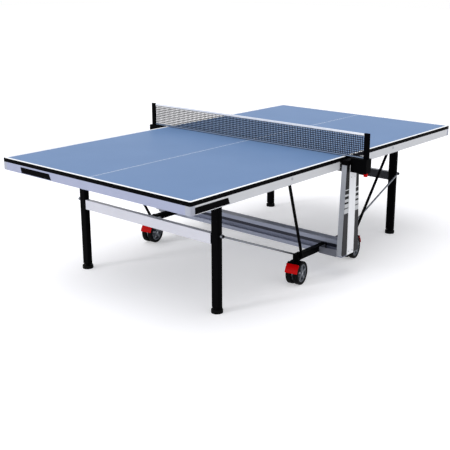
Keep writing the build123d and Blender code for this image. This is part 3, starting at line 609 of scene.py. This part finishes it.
upward_cords = add_node(
    net_tree,
    "GeometryNodeInstanceOnPoints",
    {"Points": foot_points.outputs[0], "Instance": upward.outputs[0]},
)
level_cords = add_node(
    net_tree,
    "GeometryNodeInstanceOnPoints",
    {"Points": side_points.outputs[0], "Instance": level.outputs[0]},
)
both_ways = add_node(net_tree, "GeometryNodeJoinGeometry", {0: upward_cords.outputs[0]})
net_tree.links.new(level_cords.outputs[0], both_ways.inputs[0])
strands = add_node(net_tree, "GeometryNodeRealizeInstances", {0: both_ways.outputs[0]})
radius = add_node(net_tree, "ShaderNodeMath", {0: sizes["Cord"]}, {1: 0.5}, operation="MULTIPLY")
profile = add_node(
    net_tree, "GeometryNodeCurvePrimitiveCircle", {"Radius": radius.outputs[0]}, {"Resolution": 6}
)
cords = add_node(
    net_tree,
    "GeometryNodeCurveToMesh",
    {"Curve": strands.outputs[0], "Profile Curve": profile.outputs["Curve"]},
    {"Fill Caps": True},
)
print("cords strung both ways")

# %% [markdown]
# The knots sit on every crossing: the points of one edge copied onto the points of the other, with
# a small ball on each. Cords and knots together are then set in place between the posts.

# %% Knot the net
crossings = add_node(
    net_tree,
    "GeometryNodeInstanceOnPoints",
    {"Points": foot_points.outputs[0], "Instance": side_points.outputs[0]},
)
every_crossing = add_node(net_tree, "GeometryNodeRealizeInstances", {0: crossings.outputs[0]})
ball = add_node(
    net_tree, "GeometryNodeMeshIcoSphere", {"Radius": sizes["Knot"]}, {"Subdivisions": 1}
)
knots = add_node(
    net_tree,
    "GeometryNodeInstanceOnPoints",
    {"Points": every_crossing.outputs[0], "Instance": ball.outputs[0]},
)
tied = add_node(net_tree, "GeometryNodeJoinGeometry", {0: cords.outputs[0]})
net_tree.links.new(knots.outputs[0], tied.inputs[0])
hung = add_node(
    net_tree, "GeometryNodeTransform", {"Geometry": tied.outputs[0], "Translation": sizes["Corner"]}
)
real_net = add_node(net_tree, "GeometryNodeRealizeInstances", {0: hung.outputs[0]})
dyed = add_node(
    net_tree, "GeometryNodeSetMaterial", {"Geometry": real_net.outputs[0]}, {"Material": knit}
)
add_node(net_tree, "NodeGroupOutput", {0: dyed.outputs[0]})
columns, rows = round(net_length / NET_PITCH) + 1, round(net_height / NET_PITCH) + 1
net = plain_mesh(
    "knotted_net",
    net_tree,
    {
        "Corner": (0, mesh_low.y, mesh_low.z),
        "Length": net_length,
        "Height": net_height,
        "Columns": columns,
        "Rows": rows,
        "Cord": NET_CORD,
        "Knot": NET_KNOT,
    },
    "trolley",
)
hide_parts("net_mesh")

# %% [markdown]
# The tapes are strips of cotton sewn over the net's edges. The upper one is folded over a cord, so
# its section is a narrow arch with a rounded head, and along its length it is a little wavy where
# the seam pulls it in. A ring of points per step, joined to the next ring, gives that in a few
# lines of bmesh.

# %% Fold a tape
TAPE_STEPS, CROWN_STEPS, PUCKERS, PULL = 160, 8, 24, 0.12
HEM, WAIST, WAIST_HEIGHT = 0.7, 0.6, 0.35  # shares of the tape's half thickness and of its height


def tape(name, cotton, base, height, thickness, crown):
    """A strip folded over the net's edge: rounded above, slimmer below, puckered by its seam."""
    mesh = bpy.data.meshes.new(name)
    shape = bmesh.new()
    rings = []
    for step in range(TAPE_STEPS + 1):
        y = mesh_low.y + net_length * step / TAPE_STEPS
        pull = 1 - PULL * (0.5 + 0.5 * math.sin(PUCKERS * step * 2 * math.pi / TAPE_STEPS))
        half = thickness / 2 * pull
        hem, waist = (half * HEM, base), (half * WAIST, base + height * WAIST_HEIGHT)
        outline = [(-hem[0], hem[1]), (-waist[0], waist[1])]
        for k in range(CROWN_STEPS + 1):
            turn = math.pi * (1 - k / CROWN_STEPS)
            outline.append((half * math.cos(turn), base + height - crown + crown * math.sin(turn)))
        outline += [waist, hem]
        rings.append([shape.verts.new((x, y, z)) for x, z in outline])
    for first, second in zip(rings, rings[1:]):
        for k in range(len(first)):
            after = (k + 1) % len(first)
            shape.faces.new((first[k], first[after], second[after], second[k]))
    shape.faces.new(rings[0])
    shape.faces.new(list(reversed(rings[-1])))
    bmesh.ops.recalc_face_normals(shape, faces=shape.faces)
    for face in shape.faces:
        face.smooth = len(face.verts) == 4
    shape.to_mesh(mesh)
    shape.free()
    mesh.materials.append(cotton)
    return keep_piece(name, mesh, "trolley")


tape_low, tape_high = (Vector(corner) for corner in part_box("net_tapes"))
print("tapes from", tape_low, "to", tape_high)

# %% [markdown]
# The upper tape is as high as the frame leaves room for above the net, the lower one as high as the
# room below it. Net and tapes together are one sheet, stretched between the posts.

# %% Sew the tapes
head_tape = tape(
    "net_head_tape",
    white_cotton,
    base=mesh_high.z,
    height=tape_high.z - mesh_high.z,
    thickness=5 * MM,
    crown=2.5 * MM,
)
foot_tape = tape(
    "net_foot_tape",
    foot_cotton_painted_blue,
    base=tape_low.z,
    height=mesh_low.z - tape_low.z,
    thickness=3 * MM,
    crown=1.0 * MM,
)
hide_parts("net_tapes")
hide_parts("net_tapes")

# %% [markdown]
# A row of stitches holds the upper tape to the net on each side. Geometry Nodes lays short round
# bars end to end along a line: six-sided, because there are hundreds of them.

# %% Stitch the upper tape
stitch_tree, sizes = start_tree(
    "seam stitches",
    (
        ("Start", "Vector"),
        ("Step", "Vector"),
        ("Count", "Int"),
        ("Thread", "Float"),
        ("Length", "Float"),
    ),
)
seam = add_node(
    stitch_tree,
    "GeometryNodeMeshLine",
    {"Count": sizes["Count"], "Start Location": sizes["Start"], "Offset": sizes["Step"]},
)
bar = add_node(
    stitch_tree,
    "GeometryNodeMeshCylinder",
    {"Radius": sizes["Thread"], "Depth": sizes["Length"]},
    {"Vertices": 6},
)
stitches = add_node(
    stitch_tree,
    "GeometryNodeInstanceOnPoints",
    {"Points": seam.outputs[0], "Instance": bar.outputs[0]},
    {"Rotation": (math.radians(90), 0, 0)},
)
real_stitches = add_node(stitch_tree, "GeometryNodeRealizeInstances", {0: stitches.outputs[0]})
thread = add_node(
    stitch_tree,
    "GeometryNodeSetMaterial",
    {"Geometry": real_stitches.outputs[0]},
    {"Material": white_cotton},
)
add_node(stitch_tree, "NodeGroupOutput", {0: thread.outputs[0]})
STITCH, STITCH_SHARE, THREAD = 6 * MM, 0.7, 0.5 * MM
SEAM_MARGIN, SEAM_RISE, SEAM_OUT = 10 * MM, 3 * MM, 1.6 * MM
stitch_count = int((net_length - 2 * SEAM_MARGIN) / STITCH)
for face, side in (("near", -1), ("far", 1)):
    plain_mesh(
        "net_seam_" + face,
        stitch_tree,
        {
            "Start": (side * SEAM_OUT, mesh_low.y + SEAM_MARGIN, mesh_high.z + SEAM_RISE),
            "Step": (0, STITCH, 0),
            "Count": stitch_count,
            "Thread": THREAD,
            "Length": STITCH * STITCH_SHARE,
        },
        "trolley",
    )

# %% [markdown]
# ## Plates on the aprons
# A black plate sits on the end apron and on the right side apron of the near half: four-sided, its
# short edges leaning, its rims softened, a millimetre proud of the steel.


# %% Fix the plates
def plate(name, body, corners, normal):
    """A flat plate on the given corners, raised along normal."""
    mesh = bpy.data.meshes.new(name)
    shape = bmesh.new()
    face = shape.faces.new([shape.verts.new(corner) for corner in corners])
    bulk = bmesh.ops.extrude_face_region(shape, geom=[face])
    raised = [item for item in bulk["geom"] if isinstance(item, bmesh.types.BMVert)]
    bmesh.ops.translate(shape, verts=raised, vec=Vector(normal) * PLATE_DEPTH)
    bmesh.ops.recalc_face_normals(shape, faces=shape.faces)
    bmesh.ops.bevel(shape, geom=shape.edges[:], offset=PLATE_RIM, segments=2, affect="EDGES")
    shape.to_mesh(mesh)
    shape.free()
    mesh.materials.append(black_plastic)
    keep_piece(name, mesh, body)


PLATE_LOW, PLATE_HIGH, PLATE_DEPTH, PLATE_RIM = 694 * MM, 728 * MM, 1.2 * MM, 0.5 * MM
end_plate = [
    (-TOP_HALF_LENGTH, y * MM, z)
    for y, z in ((584, PLATE_LOW), (310, PLATE_LOW), (325, PLATE_HIGH), (592, PLATE_HIGH))
]
side_plate = [
    (x * MM, -TOP_HALF_WIDTH, z)
    for x, z in ((-1338, PLATE_LOW), (-1082, PLATE_LOW), (-1095, PLATE_HIGH), (-1338, PLATE_HIGH))
]
plate("near_end_plate", "near_half", end_plate, (-1, 0, 0))
plate("near_side_plate", "near_half", side_plate, (0, -1, 0))

# %% [markdown]
# ## Screws and axle caps
# Small round heads finish the joints. They could be copied by hand, but Geometry Nodes sets one
# domed head on every point of a small cloud, turned to the direction that the point carries, so
# only the cloud differs from body to body.

# %% A domed head on every point
head_tree, sizes = start_tree(
    "domed heads",
    (("Spots", "Object"), ("Radius", "Float"), ("Height", "Float"), ("Finish", "Material")),
)
spots = add_node(head_tree, "GeometryNodeObjectInfo", {"Object": sizes["Spots"]})
facing = add_node(
    head_tree, "GeometryNodeInputNamedAttribute", None, {"Name": "facing"}, data_type="FLOAT_VECTOR"
)
turned = add_node(
    head_tree, "FunctionNodeAlignRotationToVector", {"Vector": facing.outputs[0]}, axis="Z"
)
dome = add_node(
    head_tree, "GeometryNodeMeshUVSphere", {"Radius": sizes["Radius"]}, {"Segments": 16, "Rings": 8}
)
flatness = add_node(
    head_tree, "ShaderNodeMath", {0: sizes["Height"], 1: sizes["Radius"]}, operation="DIVIDE"
)
squeeze = add_node(
    head_tree, "ShaderNodeCombineXYZ", {"Z": flatness.outputs[0]}, {"X": 1.0, "Y": 1.0}
)
head = add_node(
    head_tree,
    "GeometryNodeTransform",
    {"Geometry": dome.outputs["Mesh"], "Scale": squeeze.outputs[0]},
)
heads = add_node(
    head_tree,
    "GeometryNodeInstanceOnPoints",
    {
        "Points": spots.outputs["Geometry"],
        "Instance": head.outputs[0],
        "Rotation": turned.outputs["Rotation"],
    },
)
real_heads = add_node(head_tree, "GeometryNodeRealizeInstances", {0: heads.outputs[0]})
smooth_heads = add_node(head_tree, "GeometryNodeSetShadeSmooth", {0: real_heads.outputs[0]})
finished_heads = add_node(
    head_tree,
    "GeometryNodeSetMaterial",
    {"Geometry": smooth_heads.outputs[0], "Material": sizes["Finish"]},
)
add_node(head_tree, "NodeGroupOutput", {0: finished_heads.outputs[0]})
print("nodes of a head", len(head_tree.nodes))

# %% [markdown]
# All heads are zinc-plated. What differs is the body that they ride on, their size and their
# places, and a place is a point and the direction that the head looks in.


# %% Heads on a body
def heads_on(name, body, radius, height, places):
    """One domed head on each (point, direction) of places."""
    cloud = bpy.data.meshes.new(name + "_spots")
    cloud.from_pydata([point for point, direction in places], [], [])
    facing = cloud.attributes.new("facing", "FLOAT_VECTOR", "POINT")
    for index, (point, direction) in enumerate(places):
        facing.data[index].vector = direction
    holder = bpy.data.objects.new(name + "_spots", cloud)
    scene.collection.objects.link(holder)
    plain_mesh(
        name,
        head_tree,
        {"Spots": holder, "Radius": radius, "Height": height, "Finish": zinc},
        body,
    )
    bpy.data.objects.remove(holder)


# %% [markdown]
# Two screws hold each corner cap and each guide block to the apron, seen from the end and from the
# side. The ribs of the uprights carry a pair low down and another pair under the post's bracket.

# %% Screws of the aprons and uprights
SCREW_RADIUS, SCREW_HEIGHT, SCREW_LEVELS = 3.2 * MM, 1.2 * MM, (701 * MM, 727 * MM)
CAP_INSET, BLOCK_INSET = 24 * MM, 66 * MM
for half, turn in (("near", -1), ("far", 1)):
    screws = []
    for side in (-1, 1):
        end_x, side_y = turn * TOP_HALF_LENGTH, side * TOP_HALF_WIDTH
        for z in SCREW_LEVELS:
            screws.append(((end_x, side_y - side * CAP_INSET, z), (turn, 0, 0)))
            screws.append(((end_x - turn * CAP_INSET, side_y, z), (0, side, 0)))
            screws.append(((turn * BLOCK_INSET, side_y, z), (0, side, 0)))
    heads_on(half + "_apron_screws", half + "_half", SCREW_RADIUS, SCREW_HEIGHT, screws)

BOLT_RADIUS, BOLT_HEIGHT, BOLT_LEVELS = 4.5 * MM, 1.6 * MM, (170 * MM, 640 * MM)
BOLT_SPREAD, RIB_FACE = 20 * MM, 812 * MM
upright_screws = []
for side in (-1, 1):
    for x in (-BOLT_SPREAD, BOLT_SPREAD):
        for z in BOLT_LEVELS:
            upright_screws.append(((x, side * RIB_FACE, z), (0, side, 0)))
heads_on("upright_screws", "trolley", BOLT_RADIUS, BOLT_HEIGHT, upright_screws)

# %% [markdown]
# A pressed cap closes each end of a caster's axle, outside its two wheels. The axle stands still in
# the fork, so the caps ride with the fork. Their place comes from the joint that the wheels roll
# on: the joint's axis is the axle, and the caps lie along it.

# %% Axle caps
AXLE_HALF, CAP_RADIUS, CAP_HEIGHT = 41 * MM, 8.5 * MM, 2.5 * MM
for caster in ("near_left", "near_right", "far_left", "far_right"):
    roll = next(joint for joint in frame["joints"] if joint["name"] == caster + "_roll")
    axle, centre = Vector(roll["axis"]).normalized(), Vector(roll["pos_m"])
    ends = [(centre + side * AXLE_HALF * axle, side * axle) for side in (-1, 1)]
    heads_on(caster + "_axle_caps", caster + "_caster", CAP_RADIUS, CAP_HEIGHT, ends)

# %% [markdown]
# ## Floor, light and camera
# The floor is a roll of pale paper. A little light of its own brings it to white and still leaves
# it the table's soft shadow, which a pure white sheet would lose.

# %% Floor
REACH, GLOW, FIBRE = 40.0, 0.36, 60 * MM
floor_mesh = bpy.data.meshes.new("studio_floor")
corners = [(-REACH, -REACH, 0), (REACH, -REACH, 0), (REACH, REACH, 0), (-REACH, REACH, 0)]
floor_mesh.from_pydata(corners, [], [(0, 1, 2, 3)])
studio_floor = bpy.data.objects.new("studio_floor", floor_mesh)
scene.collection.objects.link(studio_floor)
floor_paper, tree, shader, place = start_material("matt floor paper", 0.9, gloss=0.1)
fibre = add_node(tree, "ShaderNodeTexNoise", {"Vector": place}, {"Scale": 1 / FIBRE, "Detail": 3.0})
sheet_tone = add_node(
    tree,
    "ShaderNodeMix",
    {0: fibre.outputs["Fac"]},
    {6: linear("#DEDEE2"), 7: linear("#E2E2E6")},
    data_type="RGBA",
)
tree.links.new(sheet_tone.outputs[2], shader.inputs["Base Color"])
shader.inputs["Emission Color"].default_value = (1, 1, 1, 1)
shader.inputs["Emission Strength"].default_value = GLOW
floor_mesh.materials.append(floor_paper)
print("floor", 2 * REACH, "m")

# %% [markdown]
# A studio's light comes mostly from above: the room is bright at its ceiling and dim along its
# walls, so what stands under the table stays darker than the top. The camera, reflections and clear
# materials see plain white instead.

# %% Light of the room
WALLS, CEILING = 0.2, 0.85
world = bpy.data.worlds.new("studio")
scene.world = world
world.use_nodes = True
tree = world.node_tree
background = tree.nodes["Background"]
ray = add_node(tree, "ShaderNodeLightPath")
seen = add_node(
    tree,
    "ShaderNodeMath",
    {0: ray.outputs["Is Camera Ray"], 1: ray.outputs["Is Glossy Ray"]},
    operation="MAXIMUM",
)
seen_through = add_node(
    tree,
    "ShaderNodeMath",
    {0: seen.outputs[0], 1: ray.outputs["Is Transmission Ray"]},
    operation="MAXIMUM",
)
outward = add_node(tree, "ShaderNodeTexCoord").outputs["Generated"]
direction = add_node(tree, "ShaderNodeSeparateXYZ", {0: outward})
ceiling = add_node(
    tree,
    "ShaderNodeMapRange",
    {"Value": direction.outputs["Z"]},
    {"To Min": WALLS, "To Max": CEILING},
)
glow = add_node(
    tree,
    "ShaderNodeMix",
    {0: seen_through.outputs[0], 2: ceiling.outputs[0]},
    {3: 1.0},
    data_type="FLOAT",
)
tree.links.new(glow.outputs[0], background.inputs["Strength"])
background.inputs["Color"].default_value = (1, 1, 1, 1)
print("room from", WALLS, "to", CEILING)

# %% [markdown]
# Three softboxes, as far away as suns so that the whole floor is lit alike, add the shadows: a wide
# one overhead, a low one from the near end that reaches in under the top, and a weak one from the
# side.


# %% Softboxes
def soft_sun(name, toward, spread, strength):
    """A lamp that shines toward a direction, as wide as spread in degrees."""
    lamp = bpy.data.lights.new(name, "SUN")
    lamp.angle = math.radians(spread)
    lamp.energy = strength
    holder = bpy.data.objects.new(name, lamp)
    holder.rotation_euler = Vector(toward).to_track_quat("-Z", "Y").to_euler()
    scene.collection.objects.link(holder)


soft_sun("overhead_softbox", toward=(0.25, -0.2, -1.0), spread=70, strength=1.5)
soft_sun("front_softbox", toward=(0.85, -0.35, -0.33), spread=12, strength=1.0)
soft_sun("side_softbox", toward=(0.1, 0.9, -0.35), spread=50, strength=0.3)
print("lamps", len(bpy.data.lights))

# %% [markdown]
# The camera stands where the picture was taken: some 2.7 m beyond the near end and 2.5 m off the
# right side, at eye height. Its turn is given as a heading, a tilt and a slight roll.

# %% Camera
EYE = Vector((-4.0401, -3.3169, 1.7963))
HEADING, TILT, ROLL = 0.68631, -0.27033, 0.00571  # radians
SENSOR, FOCAL = 36, 1.78734  # the sensor's width in millimetres, the focal length in sensor widths
PICTURE, AXIS_PIXEL = 450, (250, 200)  # the picture's width and the pixel on the lens's axis
ahead = Vector(
    (math.cos(TILT) * math.cos(HEADING), math.cos(TILT) * math.sin(HEADING), math.sin(TILT))
)
right = ahead.cross(Vector((0, 0, 1))).normalized()
up = right.cross(ahead)
rolled_right = math.cos(ROLL) * right + math.sin(ROLL) * up
rolled_up = -math.sin(ROLL) * right + math.cos(ROLL) * up
lens = bpy.data.cameras.new("catalogue_camera")
lens.sensor_width = SENSOR
lens.lens = SENSOR * FOCAL
lens.shift_x = (PICTURE / 2 - AXIS_PIXEL[0]) / PICTURE
lens.shift_y = (AXIS_PIXEL[1] - PICTURE / 2) / PICTURE
camera = bpy.data.objects.new("catalogue_camera", lens)
turn = Matrix((rolled_right, rolled_up, -ahead)).transposed()
camera.matrix_world = Matrix.Translation(EYE) @ turn.to_4x4()
scene.collection.objects.link(camera)
scene.camera = camera
print("camera", tuple(round(value, 3) for value in EYE), "lens", round(lens.lens, 1))
